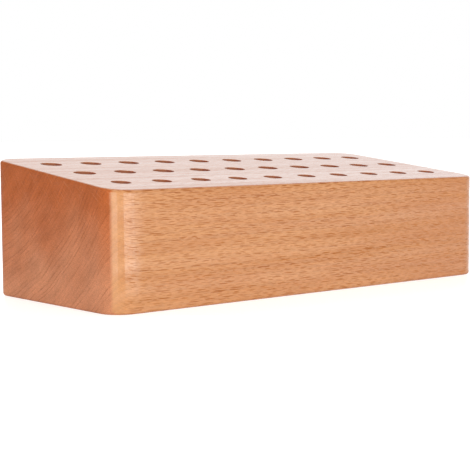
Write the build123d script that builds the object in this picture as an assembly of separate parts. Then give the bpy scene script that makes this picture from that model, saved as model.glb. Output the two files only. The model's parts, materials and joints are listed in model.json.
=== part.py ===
from build123d import *
import os

# Wooden tool holder: one block of solid beech with a top that slopes down to the front,
# drilled from above with three rows of blind holes that hold tools upright by their shanks.
# Millimetres. The origin is the centre of the base, X runs along the block, the low front
# faces -Y and +Z is up. All sizes are driven from the values below.

# Outline of the block
LENGTH = 214.0
DEPTH = 91.5
FRONT_HEIGHT = 47.5
BACK_HEIGHT = 58.75
CORNER_RADIUS = 10.0  # the four upright corners
EDGE_EASING = 1.2  # the sharp edges round the top and the base, sanded round

# Places of the tool holes: the axes of the outer holes lie these margins in from the faces
HOLES_PER_ROW = 10
END_MARGIN = 17.0
FRONT_MARGIN = 18.75
BACK_MARGIN = 20.75

# Sizes of the tool holes
FRONT_ROW_BORE = 8.0
MIDDLE_ROW_BORE = 9.0
BACK_ROW_BORE = 9.0
FLOOR_THICKNESS = 12.0  # solid wood left under every hole
MOUTH_EASING = 0.2  # the arris of each mouth, broken with sandpaper

# Worked out from the sizes above
ROW_BORES = (FRONT_ROW_BORE, MIDDLE_ROW_BORE, BACK_ROW_BORE)
ROW_PITCH = (DEPTH - FRONT_MARGIN - BACK_MARGIN) / (len(ROW_BORES) - 1)
HOLE_PITCH = (LENGTH - 2 * END_MARGIN) / (HOLES_PER_ROW - 1)


def wedge() -> Part:
    """The block as sawn: its side view, low in front and high at the back, pulled out along X."""
    front = -DEPTH / 2
    back = DEPTH / 2
    side_view = Polyline((front, 0), (back, 0), (back, BACK_HEIGHT), (front, FRONT_HEIGHT), close=True)
    return extrude(Plane.YZ * make_face(side_view), amount=LENGTH / 2, both=True)


def sloping_top(block: Part) -> Face:
    """The flat face that the tools stand in, the highest of the block's flat faces."""
    return block.faces().filter_by(GeomType.PLANE).sort_by(Axis.Z)[-1]


def round_edges(block: Part) -> Part:
    """Rounds the four upright corners, and then the edges round the top and the base."""
    block = fillet(block.edges().filter_by(Axis.Z), CORNER_RADIUS)
    base = block.faces().sort_by(Axis.Z)[0]
    return fillet(base.edges() + sloping_top(block).edges(), EDGE_EASING)


def hole_places() -> list[tuple[Location, float]]:
    """The centre of each hole's floor with the hole's bore, row by row from the front."""
    places = []
    for row, bore in enumerate(ROW_BORES):
        y = -DEPTH / 2 + FRONT_MARGIN + row * ROW_PITCH
        for number in range(HOLES_PER_ROW):
            x = -LENGTH / 2 + END_MARGIN + number * HOLE_PITCH
            places.append((Pos(x, y, FLOOR_THICKNESS), bore))
    return places


def drill(block: Part) -> Part:
    """Bores the blind, flat-floored holes straight down and eases their mouths."""
    above_floor = (Align.CENTER, Align.CENTER, Align.MIN)
    drills = [place * Cylinder(bore / 2, BACK_HEIGHT, align=above_floor) for place, bore in hole_places()]
    block = block - drills
    mouths = [edge for mouth in sloping_top(block).inner_wires() for edge in mouth.edges()]
    return chamfer(mouths, MOUTH_EASING)


def main() -> None:
    """Builds the holder's one piece and writes it."""
    os.makedirs("parts", exist_ok=True)
    holder_block = drill(round_edges(wedge()))
    export_step(holder_block, "parts/holder_block.step")


if __name__ == "__main__":
    main()
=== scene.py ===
"""A drilled tool holder of solid beech, standing on a white studio table.

The block itself comes from the frame. This script gives it its wood: growth rings, ray flecks and fibres
that run through the whole block, so that each face shows the cut that a real plank shows there, under a
satin lacquer. It then sets up the table, the lamps and the camera.
"""
import json
import logging
import math
from dataclasses import dataclass, field
from enum import Enum
from typing import Union

import bpy
from mathutils import Matrix, Vector

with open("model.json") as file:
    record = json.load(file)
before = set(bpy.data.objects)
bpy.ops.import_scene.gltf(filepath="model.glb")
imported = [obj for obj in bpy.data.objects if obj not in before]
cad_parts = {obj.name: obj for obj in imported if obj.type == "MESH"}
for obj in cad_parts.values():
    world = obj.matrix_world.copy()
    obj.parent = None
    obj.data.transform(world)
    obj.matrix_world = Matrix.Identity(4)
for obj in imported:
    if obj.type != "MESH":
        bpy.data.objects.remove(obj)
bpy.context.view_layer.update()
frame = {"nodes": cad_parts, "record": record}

LOG = logging.getLogger("tool_holder")
MM_PER_M = 1000.0


class MathsOperation(Enum):
    """The Math node operations that the wood's formulas use."""

    ADD = "ADD"
    SUBTRACT = "SUBTRACT"
    MULTIPLY = "MULTIPLY"
    DIVIDE = "DIVIDE"
    FLOOR = "FLOOR"
    FRACTION = "FRACT"
    ABSOLUTE = "ABSOLUTE"
    SQUARE_ROOT = "SQRT"
    ANGLE = "ARCTAN2"
    SMALLER = "MINIMUM"
    LARGER = "MAXIMUM"


class Signal:
    """A shader socket that takes part in Python sums, so that node maths reads as a formula."""

    def __init__(self, graph: "NodeGraph", socket: bpy.types.NodeSocket) -> None:
        """Wraps a socket.

        Args:
            graph: The node graph that the socket belongs to.
            socket: The output socket that carries the value.
        """
        self.graph = graph
        self.socket = socket

    def __add__(self, other: "Amount") -> "Signal":
        """The sum of this value and another."""
        return self.graph.maths(MathsOperation.ADD, self, other)

    def __radd__(self, other: "Amount") -> "Signal":
        """The sum of a number and this value."""
        return self.graph.maths(MathsOperation.ADD, other, self)

    def __sub__(self, other: "Amount") -> "Signal":
        """This value less another."""
        return self.graph.maths(MathsOperation.SUBTRACT, self, other)

    def __rsub__(self, other: "Amount") -> "Signal":
        """A number less this value."""
        return self.graph.maths(MathsOperation.SUBTRACT, other, self)

    def __mul__(self, other: "Amount") -> "Signal":
        """This value times another."""
        return self.graph.maths(MathsOperation.MULTIPLY, self, other)

    def __rmul__(self, other: "Amount") -> "Signal":
        """A number times this value."""
        return self.graph.maths(MathsOperation.MULTIPLY, other, self)

    def __truediv__(self, other: "Amount") -> "Signal":
        """This value divided by another."""
        return self.graph.maths(MathsOperation.DIVIDE, self, other)

    def __abs__(self) -> "Signal":
        """This value without its sign."""
        return self.graph.maths(MathsOperation.ABSOLUTE, self)

    def floor(self) -> "Signal":
        """The whole number at or below this value."""
        return self.graph.maths(MathsOperation.FLOOR, self)

    def fraction(self) -> "Signal":
        """What this value has past its whole number."""
        return self.graph.maths(MathsOperation.FRACTION, self)

    def root(self) -> "Signal":
        """The square root of this value."""
        return self.graph.maths(MathsOperation.SQUARE_ROOT, self)

    def step(self, low: float, high: float) -> "Signal":
        """A smooth step from 0 to 1.

        Args:
            low: The value at which the step leaves 0, or reaches 0 where low is above high.
            high: The value at which it has reached 1.

        Returns:
            The step, held at 0 and 1 past its ends.
        """
        node = self.graph.node(
            "ShaderNodeMapRange",
            {"interpolation_type": "SMOOTHSTEP", "clamp": True},
            {"Value": self, "From Min": low, "From Max": high, "To Min": 0.0, "To Max": 1.0},
        )
        return Signal(self.graph, node.outputs["Result"])

    def between(self, low: float, high: float) -> "Signal":
        """What lies this share of the way from low to high."""
        return self * (high - low) + low


Amount = Union[Signal, float]
Colour = tuple[float, float, float]
Place = tuple[float, float, float]
Span = tuple[float, float]  # where a soft step starts and ends, or the values that a share runs between


def linear(red: int, green: int, blue: int) -> Colour:
    """A display colour as the linear values that shaders work in.

    Args:
        red: The red channel, from 0 to 255.
        green: The green channel, from 0 to 255.
        blue: The blue channel, from 0 to 255.

    Returns:
        The linear red, green and blue, from 0 to 1.
    """
    shares = [channel / 255 for channel in (red, green, blue)]
    return tuple(
        share / 12.92 if share <= 0.04045 else ((share + 0.055) / 1.055) ** 2.4
        for share in shares
    )


class NodeGraph:
    """A node tree with one way of adding nodes, and the few formulas that the finishes share."""

    def __init__(self, tree: bpy.types.NodeTree) -> None:
        """Takes over an empty or default tree.

        Args:
            tree: The node tree of a material or a world.
        """
        self.tree = tree
        tree.nodes.clear()

    def node(self, kind: str, settings: dict | None = None, inputs: dict | None = None) -> bpy.types.Node:
        """Adds a node.

        Args:
            kind: The node's type name.
            settings: Its own properties, set before its sockets.
            inputs: Its sockets by name or number, each with a value, a Signal or an output socket.

        Returns:
            The new node.
        """
        made = self.tree.nodes.new(kind)
        for name, value in (settings or {}).items():
            setattr(made, name, value)
        for name, value in (inputs or {}).items():
            self._feed(made.inputs[name], value)
        return made

    def _feed(self, socket: bpy.types.NodeSocket, value: object) -> None:
        """Links a value to a socket, or sets the socket's own value."""
        if isinstance(value, Signal):
            value = value.socket
        if isinstance(value, bpy.types.NodeSocket):
            self.tree.links.new(value, socket)
        elif socket.type == "RGBA":
            socket.default_value = (*value, 1.0)
        else:
            socket.default_value = value

    def maths(self, operation: MathsOperation, *values: Amount) -> Signal:
        """One Math node.

        Args:
            operation: What the node works out.
            values: Its one or two inputs.

        Returns:
            The node's result.
        """
        node = self.node("ShaderNodeMath", {"operation": operation.value}, dict(enumerate(values)))
        return Signal(self, node.outputs[0])

    def point(self, x: Amount, y: Amount, z: Amount) -> Signal:
        """Three values as one vector."""
        node = self.node("ShaderNodeCombineXYZ", inputs={"X": x, "Y": y, "Z": z})
        return Signal(self, node.outputs[0])

    def parts(self, vector: Signal) -> tuple[Signal, Signal, Signal]:
        """A vector's or a colour's three values."""
        node = self.node("ShaderNodeSeparateXYZ", inputs={"Vector": vector})
        return tuple(Signal(self, output) for output in node.outputs)

    def scaled(self, vector: Signal | Colour, factor: Amount) -> Signal:
        """A vector, or each channel of a colour, times a number."""
        node = self.node("ShaderNodeVectorMath", {"operation": "SCALE"}, {0: vector, "Scale": factor})
        return Signal(self, node.outputs[0])

    def noise(self, place: Signal, detail: float = 2.0, roughness: float = 0.5) -> Signal:
        """Smooth noise from 0 to 1 that changes about once per unit of place."""
        node = self.node(
            "ShaderNodeTexNoise",
            {"noise_dimensions": "3D"},
            {"Vector": place, "Scale": 1.0, "Detail": detail, "Roughness": roughness},
        )
        return Signal(self, node.outputs[0])

    def dice(self, place: Signal) -> tuple[Signal, Signal, Signal]:
        """Three random numbers from 0 to 1 that are the same wherever place is the same."""
        node = self.node("ShaderNodeTexWhiteNoise", {"noise_dimensions": "3D"}, {"Vector": place})
        return self.parts(Signal(self, node.outputs["Color"]))

    def blend(self, share: Amount, first: Signal | Colour, second: Signal | Colour) -> Signal:
        """A colour between two others.

        Args:
            share: How much of the second colour there is, from 0 to 1.
            first: The colour at 0.
            second: The colour at 1.

        Returns:
            The mixed colour.
        """
        node = self.node(
            "ShaderNodeMix", {"data_type": "RGBA", "clamp_factor": True}, {0: share, 6: first, 7: second}
        )
        return Signal(self, node.outputs[2])


@dataclass(frozen=True)
class Figure:
    """One kind of cloudy variation in the wood, by the lengths in millimetres over which it changes."""

    along: float  # along the grain
    across: float  # along the growth rings
    outward: float  # out from the pith
    detail: float = 2.0
    roughness: float = 0.5

    def noise(self, graph: NodeGraph, along: Signal, across: Signal, outward: Signal) -> Signal:
        """The variation at a place, from -0.5 to 0.5."""
        place = graph.point(along / self.along, across / self.across, outward / self.outward)
        return graph.noise(place, self.detail, self.roughness) - 0.5


@dataclass(frozen=True)
class DashRows:
    """Short dashes along the grain, which is how a plank's face cuts across its rays.

    Each row is a line along the grain, divided into cells of one dash. Sizes are in millimetres.
    """

    cell: float
    row: float
    shortest: float
    longest: float
    thickness: float
    seed: float
    slide_cells: float = 17.0  # how far a row can be slid along, in cells
    lift_rows: float = 0.7  # the room across its row that a dash can lie in, in rows
    fade: Span = (1.25, 0.35)  # squares of the distance from a dash's middle, in half sizes
    weights: Span = (0.25, 1.0)

    def cover(self, graph: NodeGraph, along: Signal, across: Signal) -> Signal:
        """How far each point is covered by a dash.

        Args:
            graph: The graph to work in.
            along: The distance along the grain.
            across: The distance across the rows.

        Returns:
            From 0 off the dashes to 1 in the strongest of them.
        """
        rows = across / self.row
        row_number = rows.floor()
        slide, _, _ = graph.dice(graph.point(row_number, self.seed, 0.0))
        cells = along / self.cell + slide * self.slide_cells
        cell_number = cells.floor()
        place, length, weight = graph.dice(graph.point(cell_number, row_number, self.seed))
        lift, _, _ = graph.dice(graph.point(row_number, cell_number, self.seed + 0.5))
        half_length = length.between(self.shortest, self.longest) / (2 * self.cell)
        room = 1.0 - 2.0 * half_length
        from_middle = (cells.fraction() - 0.5 - (place - 0.5) * room) / half_length
        half_thickness = self.thickness / (2 * self.row)
        from_line = (rows.fraction() - 0.5 - (lift - 0.5) * self.lift_rows) / half_thickness
        spread = from_middle * from_middle + from_line * from_line
        return spread.step(*self.fade) * weight.between(*self.weights)


@dataclass
class TreePlace:
    """Where each point of the block lay in its tree, as values in a node graph, in millimetres."""

    graph: NodeGraph
    place: Signal
    x: Signal
    y: Signal
    z: Signal
    around: Signal  # along the growth ring that the point is in
    radius: Signal  # out from the pith
    drift: Signal  # the slow wandering of the grain, from -0.5 to 0.5

    def noise(self, figure: Figure) -> Signal:
        """A variation that follows the grain and the rings, from -0.5 to 0.5."""
        return figure.noise(self.graph, self.x, self.around, self.radius)

    def pores(self, per_mm: float) -> Signal:
        """Fine specks that follow nothing, from -0.5 to 0.5."""
        return self.graph.noise(self.graph.scaled(self.place, per_mm), roughness=0.7) - 0.5


@dataclass(frozen=True)
class GrowthRings:
    """How the block lay in its tree. Lengths are in millimetres.

    The pith of the tree lay above the block and behind it, so the growth rings cross the ends at a slant.
    """

    pith_y: float = 87.0
    pith_z: float = 131.0
    spacing: float = 1.9
    mean_radius: float = 150.0  # turns angles around the pith into lengths
    drift: Figure = Figure(260.0, 30.0, 30.0, detail=1.0)
    drift_out: float = 5.0
    drift_around: float = 3.0
    ripple: Figure = Figure(60.0, 3.0, 3.0, roughness=0.6)
    ripple_out: float = 0.6
    ripple_around: float = 0.3
    uneven_over: float = 9.0  # the radius over which rings crowd and widen
    uneven_by: float = 3.0  # in rings
    tone_seed: float = 3.0
    late_part: Span = (0.35, 0.96)  # the shares of a ring's width over which it turns to late wood
    late_strength: Span = (0.45, 1.0)  # in the faintest and in the strongest ring
    line_part: Span = (0.60, 0.97)  # and over which its closing line comes in

    def place_in_tree(self, graph: NodeGraph) -> TreePlace:
        """Works out where each point of the block lay in the tree.

        Args:
            graph: The graph to work in.

        Returns:
            The point's place.
        """
        coordinates = graph.node("ShaderNodeTexCoord")
        place = graph.scaled(Signal(graph, coordinates.outputs["Object"]), MM_PER_M)
        x, y, z = graph.parts(place)
        # These two bend the rings themselves, so they change along Y and Z and not along the rings.
        drift = self.drift.noise(graph, x, y, z)
        ripple = self.ripple.noise(graph, x, y, z)
        from_pith_y = self.pith_y - y
        from_pith_z = self.pith_z - z
        radius = (from_pith_y * from_pith_y + from_pith_z * from_pith_z).root()
        radius = radius + drift * self.drift_out + ripple * self.ripple_out
        angle = graph.maths(MathsOperation.ANGLE, from_pith_y, from_pith_z)
        around = angle * self.mean_radius + drift * self.drift_around + ripple * self.ripple_around
        return TreePlace(graph, place, x, y, z, around, radius, drift)

    def seasons(self, tree: TreePlace) -> tuple[Signal, Signal, Signal]:
        """How the rings change from early to late wood.

        Args:
            tree: Where the points lay in the tree.

        Returns:
            The ring's own tone, how late the wood is, and the line in which the ring ends, from 0 to 1.
        """
        graph = tree.graph
        uneven = graph.noise(graph.point(tree.radius / self.uneven_over, 0.0, 0.0), detail=1.0) - 0.5
        rings = tree.radius / self.spacing + uneven * self.uneven_by
        tone, _, _ = graph.dice(graph.point(rings.floor(), self.tone_seed, 0.0))
        late = rings.fraction().step(*self.late_part) * tone.between(*self.late_strength)
        return tone, late, rings.fraction().step(*self.line_part)


@dataclass
class WoodMarks:
    """The marks that the wood's colours, gloss and relief share, as values in a node graph."""

    faces_up: Signal  # 1 on the top and 0 on the sides and ends
    end_grain: Signal  # 1 on the ends
    ring_tone: Signal
    late_wood: Signal
    ring_line: Signal
    bands: Signal
    fibres: Signal
    flecks: Signal
    end_pores: Signal


@dataclass(frozen=True)
class SideWood:
    """The look of the long faces, the top and the base, which are cut along the grain."""

    light: Colour = linear(219, 152, 93)
    dark: Colour = linear(210, 140, 80)
    # painted shade: a darker colour that stands in for the lamps' light falling off towards the right end
    right_end_shade: Colour = linear(205, 125, 60)  # towards the right end
    # painted light: a pink that stands in for the pale cast the lamps and their reflection give the top,
    # not a colour of the wood
    painted_top_tint: Colour = linear(198, 108, 86)
    fleck_brown: Colour = linear(160, 80, 6)
    blotches: Figure = Figure(60.0, 5.0, 5.0)
    blotch_step: Span = (-0.2, 0.2)
    right_end_shade_step: Span = (0.0, 120.0)  # along the block
    right_end_shade_share: float = 0.6
    late_tint: float = 0.07
    fibre_tint: float = 0.34
    band_tint: float = 0.08
    pore_tint: float = 0.14
    pores_per_mm: float = 2.2
    top_calm: float = 0.4  # how much weaker the grain is on the top
    fleck_by_season: Span = (0.66, 1.01)  # how dark flecks are in early and in late wood
    fleck_by_height: Span = (0.90, 1.18)  # how much darker low and high on the block
    height_step: Span = (24.0, 46.0)
    fleck_by_length: Span = (1.0, 0.75)  # how much darker at its left and at its right
    length_step: Span = (10.0, 100.0)
    pale_flecks: DashRows = DashRows(cell=6.0, row=0.5, shortest=2.0, longest=5.4, thickness=0.26, seed=37)
    pale_tint: float = 0.06
    painted_top_tint_share: float = 0.4

    def colour(self, tree: TreePlace, marks: WoodMarks) -> Signal:
        """Builds the wood's colour.

        Args:
            tree: Where the points lay in the tree.
            marks: The marks that all faces share.

        Returns:
            The colour.
        """
        graph = tree.graph
        wood = graph.blend(tree.noise(self.blotches).step(*self.blotch_step), self.light, self.dark)
        # painted shade: the long faces and the top darken towards the right end, where the light falls off
        wood = graph.blend(tree.x.step(*self.right_end_shade_step) * self.right_end_shade_share, wood, self.right_end_shade)
        pores = tree.pores(self.pores_per_mm)
        grain = marks.fibres * self.fibre_tint + pores * self.pore_tint + marks.bands * self.band_tint
        calm = 1.0 - marks.faces_up * self.top_calm
        wood = graph.scaled(wood, 1.0 - marks.late_wood * self.late_tint + grain * calm)
        depth = marks.late_wood.between(*self.fleck_by_season)
        depth = depth * tree.z.step(*self.height_step).between(*self.fleck_by_height)
        depth = depth * tree.x.step(*self.length_step).between(*self.fleck_by_length)
        wood = graph.blend(marks.flecks * depth, wood, self.fleck_brown)
        wood = graph.scaled(wood, 1.0 + self.pale_flecks.cover(graph, tree.x, tree.around) * self.pale_tint)
        # painted light: the top is pulled towards a pink that stands in for how the lamps and their
        # reflection light it
        return graph.blend(marks.faces_up * self.painted_top_tint_share, wood, self.painted_top_tint)


@dataclass(frozen=True)
class EndWood:
    """The look of the two ends, which are cut across the growth rings."""

    upper_tone: Colour = linear(192, 101, 50)
    # painted light: a paler tone that stands in for light bounced up from the white table onto the lower
    # ends
    bounce_lit_tone: Colour = linear(216, 144, 104)
    line: Colour = linear(128, 56, 26)
    ray_light: Colour = linear(224, 150, 104)
    bounce_step: Span = (46.0, 1.0)  # heights, from the upper tone down to the painted bounce light at the base
    bounce_drift: float = 50.0
    plain_tint: float = 0.955
    band_tint: float = 0.30
    clouds: Figure = Figure(60.0, 16.0, 6.0)
    cloud_tint: float = 0.42
    line_by_ring: Span = (0.05, 0.33)
    breaks: Figure = Figure(4.0, 4.0, 1.3)  # where a ring's line is faint or strong
    break_step: Span = (-0.15, 0.12)
    line_by_break: Span = (0.3, 1.2)
    rays: Figure = Figure(4.0, 0.5, 9.0, detail=1.0)
    ray_step: Span = (0.10, 0.25)
    ray_share: float = 0.22
    pore_tint: float = 1.05

    def colour(self, tree: TreePlace, marks: WoodMarks) -> Signal:
        """Builds the wood's colour.

        Args:
            tree: Where the points lay in the tree.
            marks: The marks that all faces share.

        Returns:
            The colour.
        """
        graph = tree.graph
        # painted light: the ends pale towards the base, standing in for light bounced up from the white
        # table
        bounce_share = (tree.z + tree.drift * self.bounce_drift).step(*self.bounce_step)
        wood = graph.blend(bounce_share, self.upper_tone, self.bounce_lit_tone)
        clouds = tree.noise(self.clouds) * self.cloud_tint
        wood = graph.scaled(wood, self.plain_tint + marks.bands * self.band_tint + clouds)
        line = marks.ring_line * marks.ring_tone.between(*self.line_by_ring)
        line = line * tree.noise(self.breaks).step(*self.break_step).between(*self.line_by_break)
        wood = graph.blend(line, wood, self.line)
        rays = tree.noise(self.rays).step(*self.ray_step)
        wood = graph.blend(rays * self.ray_share, wood, self.ray_light)
        return graph.scaled(wood, 1.0 + marks.end_pores * self.pore_tint)


@dataclass(frozen=True)
class SatinLacquer:
    """The clear lacquer on the faces, thinner over flecks and ends, and the relief under it."""

    weight: float = 0.98
    weight_on_bands: float = 1.2
    weight_on_top_bands: float = -0.5
    weight_on_fibres: float = 0.2
    weight_on_flecks: float = -0.7
    weight_on_top: float = -0.06
    ends_without: float = 0.85  # the share that the ends go without
    coat_roughness: float = 0.04
    coat_ior: float = 1.6
    wood_roughness: float = 0.34
    fleck_roughness: float = 0.08
    end_roughness: float = 0.10
    bore_roughness: float = 0.25
    fibre_height: float = 0.4
    fleck_height: float = -0.7
    ring_height: float = -0.5
    pore_height: float = 0.5
    relief_strength: float = 0.5
    relief_depth: float = 0.00003  # metres

    def cover(self, marks: WoodMarks, in_bore: Signal) -> Signal:
        """How much lacquer there is, from 0 to 1, with none in the holes."""
        on_bands = marks.bands * (self.weight_on_bands + marks.faces_up * self.weight_on_top_bands)
        cover = self.weight + on_bands + marks.fibres * self.weight_on_fibres
        cover = cover + marks.flecks * self.weight_on_flecks + marks.faces_up * self.weight_on_top
        return cover * (1.0 - marks.end_grain * self.ends_without) * (1.0 - in_bore)

    def roughness(self, marks: WoodMarks, in_bore: Signal) -> Signal:
        """How rough the wood under the lacquer is."""
        rough = self.wood_roughness + marks.flecks * self.fleck_roughness
        return rough + marks.end_grain * self.end_roughness + in_bore * self.bore_roughness

    def relief(self, graph: NodeGraph, marks: WoodMarks) -> bpy.types.NodeSocket:
        """Turns the grain's height into a bent normal.

        Args:
            graph: The graph to work in.
            marks: The marks that stand up or lie deep.

        Returns:
            The socket with the normal.
        """
        height = marks.fibres * self.fibre_height + marks.flecks * self.fleck_height
        end_height = marks.ring_line * self.ring_height + marks.end_pores * self.pore_height
        bump = graph.node(
            "ShaderNodeBump",
            inputs={
                "Strength": self.relief_strength,
                "Distance": self.relief_depth,
                "Height": height + end_height * marks.end_grain,
            },
        )
        return bump.outputs["Normal"]


@dataclass(frozen=True)
class BeechFinish:
    """Steamed beech under a satin lacquer. Lengths are in millimetres."""

    rings: GrowthRings = GrowthRings()
    side: SideWood = SideWood()
    end: EndWood = EndWood()
    lacquer: SatinLacquer = SatinLacquer()
    bore_brown: Colour = linear(158, 98, 80)
    bore_share: float = 0.8
    up_step: Span = (0.5, 0.9)  # of the normal's Z
    end_step: Span = (0.74, 0.86)  # of the normal's X
    end_lean: float = 0.35  # lets the ends' look reach over the eased edges
    fleck_step: Span = (0.70, 0.10)  # of the normal's X
    fleck_on_top: float = 0.45
    long_flecks: DashRows = DashRows(cell=8.6, row=0.56, shortest=3.0, longest=7.6, thickness=0.26, seed=11)
    short_flecks: DashRows = DashRows(cell=4.4, row=0.4, shortest=1.4, longest=3.8, thickness=0.2, seed=23)
    short_depth: float = 0.8
    fibres: Figure = Figure(9.0, 0.36, 0.36, roughness=0.6)
    bands: Figure = Figure(150.0, 12.0, 2.6, roughness=0.6)
    end_pores_per_mm: float = 2.9

    def material(self, name: str, bores: "BoreGrid") -> bpy.types.Material:
        """Builds the wood's material.

        Args:
            name: The material's name.
            bores: Where the drilled holes are, whose walls are bare wood.

        Returns:
            The finished material.
        """
        material = bpy.data.materials.new(name)
        material.use_nodes = True
        graph = NodeGraph(material.node_tree)
        tree = self.rings.place_in_tree(graph)
        marks = self._marks(tree)
        wood = graph.blend(marks.end_grain, self.side.colour(tree, marks), self.end.colour(tree, marks))
        in_bore = bores.inside(graph, tree.x, tree.y, tree.z)
        shader = graph.node(
            "ShaderNodeBsdfPrincipled",
            inputs={
                "Base Color": graph.blend(in_bore * self.bore_share, wood, self.bore_brown),
                "Roughness": self.lacquer.roughness(marks, in_bore),
                "Specular IOR Level": 0.0,
                "Coat Weight": self.lacquer.cover(marks, in_bore),
                "Coat Roughness": self.lacquer.coat_roughness,
                "Coat IOR": self.lacquer.coat_ior,
                "Normal": self.lacquer.relief(graph, marks),
            },
        )
        graph.node("ShaderNodeOutputMaterial", inputs={"Surface": shader.outputs[0]})
        return material

    def _marks(self, tree: TreePlace) -> WoodMarks:
        """Finds the marks that all faces share, and which way each face looks."""
        graph = tree.graph
        coordinates = graph.node("ShaderNodeTexCoord")
        normal_x, _, normal_z = graph.parts(Signal(graph, coordinates.outputs["Normal"]))
        faces_up = normal_z.step(*self.up_step)
        tone, late_wood, line = self.rings.seasons(tree)
        long_flecks = self.long_flecks.cover(graph, tree.x, tree.around)
        short_flecks = self.short_flecks.cover(graph, tree.x, tree.around) * self.short_depth
        flecks = graph.maths(MathsOperation.LARGER, long_flecks, short_flecks)
        flecks = flecks * (abs(normal_x).step(*self.fleck_step) * faces_up.between(1.0, self.fleck_on_top))
        return WoodMarks(
            faces_up=faces_up,
            end_grain=(abs(normal_x) + abs(normal_z) * self.end_lean).step(*self.end_step),
            ring_tone=tone,
            late_wood=late_wood,
            ring_line=line,
            bands=tree.noise(self.bands),
            fibres=tree.noise(self.fibres),
            flecks=flecks,
            end_pores=tree.pores(self.end_pores_per_mm),
        )


@dataclass(frozen=True)
class BoreRow:
    """One row of drilled holes, in millimetres."""

    first_x: float
    last_x: float
    y: float
    floor_z: float
    radius: float


@dataclass(frozen=True)
class BoreGrid:
    """Where the drilled holes are, read from the frame's mounts."""

    pitch: float
    rows: tuple[BoreRow, ...]
    mouth_band: float = 0.05  # how far past a bore's radius its bare wood reaches, and then fades
    floor_band: float = 0.5  # how far below a bore's floor it is still bare, and then fades

    @classmethod
    def from_record(cls, record: dict) -> "BoreGrid":
        """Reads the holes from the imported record.

        Args:
            record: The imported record, whose bore mounts are the holes.

        Returns:
            The rows of holes, and the pitch along them.
        """
        bores = [mount for mount in record["mounts"] if mount["kind"] == "bore"]
        by_row: dict[float, list[dict]] = {}
        for bore in bores:
            by_row.setdefault(bore["pos_m"][1], []).append(bore)
        rows = []
        for y, holes in sorted(by_row.items()):
            places = sorted(hole["pos_m"][0] * MM_PER_M for hole in holes)
            pitch = (places[-1] - places[0]) / (len(places) - 1)
            floor_z = holes[0]["pos_m"][2] * MM_PER_M
            rows.append(BoreRow(places[0], places[-1], y * MM_PER_M, floor_z, holes[0]["dims"]["r_mm"]))
        return cls(pitch, tuple(rows))

    def inside(self, graph: NodeGraph, x: Signal, y: Signal, z: Signal) -> Signal:
        """Where the wood is a hole's wall or floor.

        Args:
            graph: The graph to work in.
            x: The place along the block.
            y: The place from front to back.
            z: The height.

        Returns:
            1 inside the holes and 0 elsewhere.
        """
        share: Amount = 0.0
        for row in self.rows:
            nearest = ((x - row.first_x) / self.pitch + 0.5).floor() * self.pitch + row.first_x
            nearest = graph.maths(MathsOperation.LARGER, nearest, row.first_x)
            from_axis_x = x - graph.maths(MathsOperation.SMALLER, nearest, row.last_x)
            from_axis_y = y - row.y
            distance = (from_axis_x * from_axis_x + from_axis_y * from_axis_y).root()
            within = distance.step(row.radius + 2 * self.mouth_band, row.radius + self.mouth_band)
            bare_from = row.floor_z - self.floor_band
            share = share + within * z.step(bare_from - self.floor_band, bare_from)
        return share


@dataclass
class HolderBlock:
    """The holder's one piece: the drilled and sanded block."""

    node: str = "holder_block"
    finish: BeechFinish = field(default_factory=BeechFinish)

    def dress(self) -> bpy.types.Object:
        """Gives the block its wood.

        Returns:
            The block's object.
        """
        block = frame["nodes"][self.node]
        wood = self.finish.material("satin_beech", BoreGrid.from_record(frame["record"]))
        block.data.materials.clear()
        block.data.materials.append(wood)
        return block


@dataclass(frozen=True)
class LightPanel:
    """A flat studio lamp that faces the block from a compass direction. Metres and degrees.

    Its glow is its brightness to look at, where a white paper in plain light has 1.
    """

    name: str
    bearing: float  # anticlockwise from +X, seen from above
    elevation: float
    distance: float
    width: float
    height: float
    glow: float
    mirrored: bool = False  # whether glossy surfaces show the lamp itself

    def hang(self) -> bpy.types.Object:
        """Hangs the lamp.

        Returns:
            The lamp's object.
        """
        lamp = bpy.data.lights.new(self.name, "AREA")
        lamp.shape = "RECTANGLE"
        lamp.size = self.width
        lamp.size_y = self.height
        lamp.energy = self.glow * math.pi * self.width * self.height
        bearing = math.radians(self.bearing)
        elevation = math.radians(self.elevation)
        level = self.distance * math.cos(elevation)
        height = self.distance * math.sin(elevation)
        place = Vector((level * math.cos(bearing), level * math.sin(bearing), height))
        holder = bpy.data.objects.new(self.name, lamp)
        holder.location = place
        holder.visible_glossy = self.mirrored
        holder.rotation_euler = (-place).to_track_quat("-Z", "Y").to_euler()
        bpy.context.scene.collection.objects.link(holder)
        return holder


@dataclass(frozen=True)
class TableFan:
    """A fan of brighter table, which the block's rounded corner mirrors as a pale band.

    It opens from its corner between two bearings, in metres and degrees anticlockwise from +X.
    """

    corner_x: float
    corner_y: float
    first_bearing: float
    last_bearing: float
    glow: float
    softness: float  # how much of an edge's distance it fades over
    near: float = 0.0
    reach: float = 0.21

    def strength(self, x: Signal, y: Signal) -> Signal:
        """How much brighter the table is.

        Args:
            x: The place on the table.
            y: The place on the table.

        Returns:
            The fan's glow inside it and 0 outside.
        """
        from_x = x - self.corner_x
        from_y = y - self.corner_y
        distance = (from_x * from_x + from_y * from_y).root()
        inside = distance.step(self.near, self.reach)
        for bearing, side in ((self.first_bearing, 1.0), (self.last_bearing, -1.0)):
            angle = math.radians(bearing)
            across = from_y * math.cos(angle) - from_x * math.sin(angle)
            inside = inside * (across * side / distance).step(0.0, self.softness)
        return inside * self.glow


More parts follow.
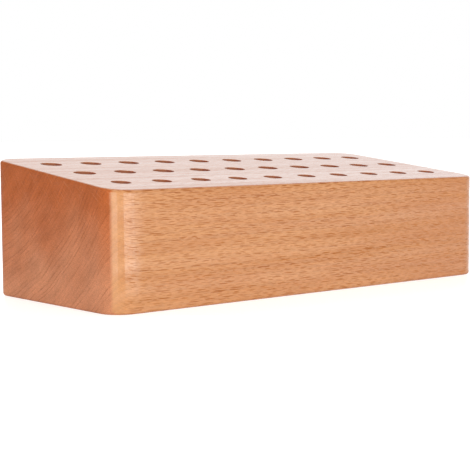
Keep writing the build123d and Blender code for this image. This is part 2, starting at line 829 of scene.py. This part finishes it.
@dataclass(frozen=True)
class Studio:
    """The white table, the white surroundings and the lamps."""

    table_size: float = 40.0
    table_white: float = 0.86
    table_roughness: float = 0.25
    near_glow: float = 0.62  # added to the table by the block, for the eye alone
    far_glow: float = 0.65
    near_reach: float = 0.16
    far_reach: float = 0.7
    fans: tuple[TableFan, ...] = (
        TableFan(
            corner_x=-0.0950, corner_y=-0.0458, first_bearing=253.0, last_bearing=306.2,
            glow=2.2, softness=0.035,
        ),
        TableFan(
            corner_x=-0.1050, corner_y=-0.0400, first_bearing=190.0, last_bearing=228.0,
            glow=1.2, softness=0.04,
        ),
    )
    room_light: float = 0.50
    lamps: tuple[LightPanel, ...] = (
        LightPanel(
            "front_panel", bearing=262.0, elevation=14.0, distance=1.05,
            width=0.90, height=0.44, glow=3.4,
        ),
        LightPanel(
            "left_panel", bearing=206.0, elevation=12.0, distance=1.05,
            width=0.58, height=0.44, glow=3.5,
        ),
        LightPanel(
            "overhead_panel", bearing=75.0, elevation=52.0, distance=1.20,
            width=1.10, height=0.55, glow=1.1,
        ),
        LightPanel(
            "back_panel", bearing=40.0, elevation=16.0, distance=1.50,
            width=1.90, height=0.42, glow=0.26, mirrored=True,
        ),
    )

    def set_up(self) -> None:
        """Lays the table, fills the room with light and hangs the lamps."""
        self._lay_table()
        self._light_room()
        for lamp in self.lamps:
            lamp.hang()

    def _lay_table(self) -> None:
        """Makes the white table top, which keeps the block's shadow."""
        bpy.ops.object.select_all(action="DESELECT")
        bpy.ops.mesh.primitive_plane_add(size=self.table_size, location=(0.0, 0.0, 0.0))
        table = bpy.context.object
        table.name = "table_top"
        material = bpy.data.materials.new("white_table")
        material.use_nodes = True
        graph = NodeGraph(material.node_tree)
        paint = graph.node(
            "ShaderNodeBsdfPrincipled",
            inputs={"Base Color": (self.table_white,) * 3, "Roughness": self.table_roughness},
        )
        coordinates = graph.node("ShaderNodeTexCoord")
        x, y, _ = graph.parts(Signal(graph, coordinates.outputs["Object"]))
        far = (x * x + y * y).root().step(self.near_reach, self.far_reach)
        strength = far.between(self.near_glow, self.far_glow)
        for fan in self.fans:
            strength = strength + fan.strength(x, y)
        glow = graph.node("ShaderNodeEmission", inputs={"Strength": self._seen_directly(graph) * strength})
        both = graph.node("ShaderNodeAddShader", inputs={0: paint.outputs[0], 1: glow.outputs[0]})
        graph.node("ShaderNodeOutputMaterial", inputs={"Surface": both.outputs[0]})
        table.data.materials.append(material)

    def _light_room(self) -> None:
        """Makes the surroundings white to look at, and softer as a light."""
        world = bpy.data.worlds.new("white_room")
        world.use_nodes = True
        graph = NodeGraph(world.node_tree)
        seen = self._seen_directly(graph)
        strength = seen.between(self.room_light, 1.0)
        glow = graph.node("ShaderNodeBackground", inputs={"Color": (1.0, 1.0, 1.0), "Strength": strength})
        graph.node("ShaderNodeOutputWorld", inputs={"Surface": glow.outputs[0]})
        bpy.context.scene.world = world

    @staticmethod
    def _seen_directly(graph: NodeGraph) -> Signal:
        """1 where the camera, a reflection or a clear piece looks at the surface, and 0 for its light."""
        path = graph.node("ShaderNodeLightPath")
        kinds = ("Camera", "Glossy", "Transmission")
        looks = [Signal(graph, path.outputs[f"Is {kind} Ray"]) for kind in kinds]
        either = graph.maths(MathsOperation.LARGER, looks[0], looks[1])
        return graph.maths(MathsOperation.LARGER, either, looks[2])


@dataclass(frozen=True)
class StudioCamera:
    """The camera, placed so that the block's edges and holes fall where the photograph has them."""

    place: Place = (-0.36071, -0.42082, 0.06686)
    turn: float = 39.876  # degrees to the right of straight ahead, which is +Y
    dip: float = 4.591  # degrees below level
    roll: float = 0.395  # degrees clockwise
    lens: float = 92.57  # millimetres
    frame_width: float = 36.0  # millimetres

    def set_up(self) -> None:
        """Puts the camera in its place and makes it the scene's."""
        camera = bpy.data.cameras.new("studio_camera")
        camera.lens = self.lens
        camera.sensor_width = self.frame_width
        holder = bpy.data.objects.new("studio_camera", camera)
        turn = Matrix.Rotation(-math.radians(self.turn), 4, "Z")
        tilt = Matrix.Rotation(math.radians(90.0 - self.dip), 4, "X")
        roll = Matrix.Rotation(-math.radians(self.roll), 4, "Z")
        holder.matrix_world = Matrix.Translation(self.place) @ turn @ tilt @ roll
        bpy.context.scene.collection.objects.link(holder)
        bpy.context.scene.camera = holder


def main() -> None:
    """Sets up the camera, dresses the block and lights it."""
    logging.basicConfig(level=logging.INFO, format="%(message)s")
    bpy.context.scene.view_settings.view_transform = "Standard"
    StudioCamera().set_up()
    block = HolderBlock().dress()
    LOG.info("%s: %d faces", block.name, len(block.data.polygons))
    Studio().set_up()


if __name__ == "__main__":
    main()
